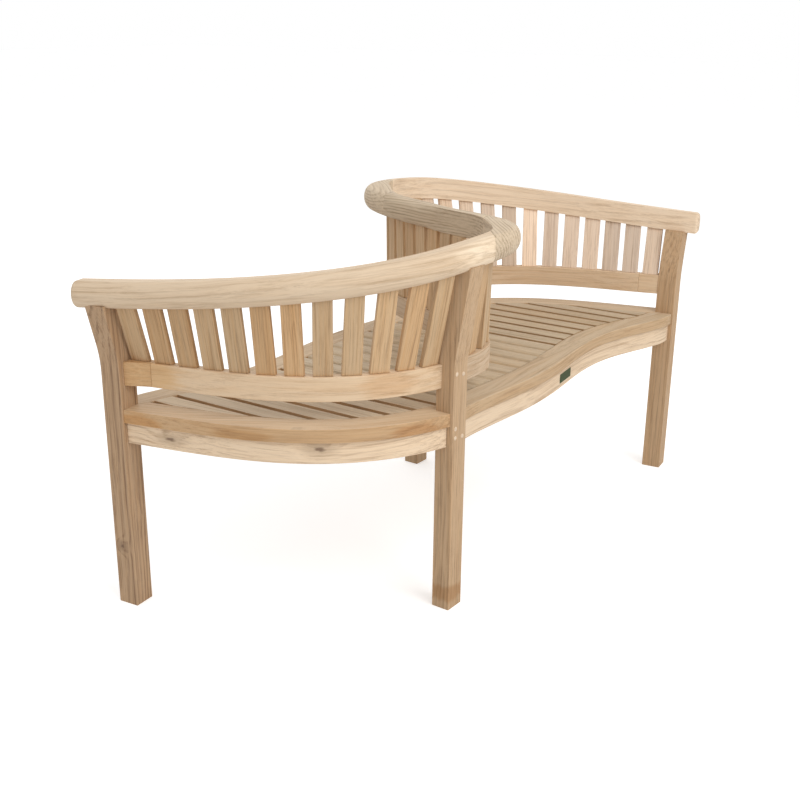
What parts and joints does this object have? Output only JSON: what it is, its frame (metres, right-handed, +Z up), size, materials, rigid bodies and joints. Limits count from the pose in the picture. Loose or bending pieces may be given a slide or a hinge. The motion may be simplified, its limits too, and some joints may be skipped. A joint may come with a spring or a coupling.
{
  "type": "companion seat bench",
  "caption": "Wooden garden bench for two facing opposite ways, its slatted back an S-curve crossing one long slatted seat on square legs.",
  "frame": {"origin": "on the floor under the middle of the seat, the bench's centre of two-fold turning symmetry", "axes": "+Z up; X along the long seat, with the left seat's back on the -X side; Y across the seat, the left seat facing +Y"},
  "size_m": [1.527, 0.7264, 0.7972],
  "materials": {
    "legs": "sanded unfinished teak, straight grain up the leg",
    "top_rail": "sanded teak, grain along the rail",
    "low_rail": "sanded teak, grain along the rail",
    "seat_frame": "sanded teak, grain along the board",
    "seat_slats": "sanded teak, grain along the slat",
    "back_slats": "sanded teak, grain up the slat",
    "pegs": "teak end grain"
  },
  "bodies": {
    "root": {"crossing_low_rail": "low_rail", "crossing_slats": "back_slats", "crossing_top_rail": "top_rail", "far_arc_top_rail": "top_rail", "far_back_slat_01": "back_slats", "far_back_slat_02": "back_slats", "far_back_slat_03": "back_slats", "far_back_slat_04": "back_slats", "far_back_slat_05": "back_slats", "far_back_slat_06": "back_slats", "far_back_slat_07": "back_slats", "far_back_slat_08": "back_slats", "far_back_slat_09": "back_slats", "far_back_slat_10": "back_slats", "far_back_slat_11": "back_slats", "far_back_slat_12": "back_slats", "far_bend_slats": "back_slats", "far_bend_top_rail": "top_rail", "far_end_leg": "legs", "far_low_rail": "low_rail", "far_low_rail_block": "low_rail", "far_middle_leg": "legs", "left_seat_back_apron": "seat_frame", "left_seat_back_rim": "seat_frame", "left_seat_bearer": "seat_frame", "left_seat_front_apron": "seat_frame", "left_seat_front_rim": "seat_frame", "left_seat_slats": "seat_slats", "middle_seat_slats": "seat_slats", "near_arc_top_rail": "top_rail", "near_back_slat_01": "back_slats", "near_back_slat_02": "back_slats", "near_back_slat_03": "back_slats", "near_back_slat_04": "back_slats", "near_back_slat_05": "back_slats", "near_back_slat_06": "back_slats", "near_back_slat_07": "back_slats", "near_back_slat_08": "back_slats", "near_back_slat_09": "back_slats", "near_back_slat_10": "back_slats", "near_back_slat_11": "back_slats", "near_back_slat_12": "back_slats", "near_bend_slats": "back_slats", "near_bend_top_rail": "top_rail", "near_end_leg": "legs", "near_low_rail": "low_rail", "near_low_rail_block": "low_rail", "near_middle_leg": "legs", "right_seat_back_apron": "seat_frame", "right_seat_back_rim": "seat_frame", "right_seat_bearer": "seat_frame", "right_seat_front_apron": "seat_frame", "right_seat_front_rim": "seat_frame", "right_seat_slats": "seat_slats", "tenon_pegs": "pegs"}
  },
  "joints": []
}
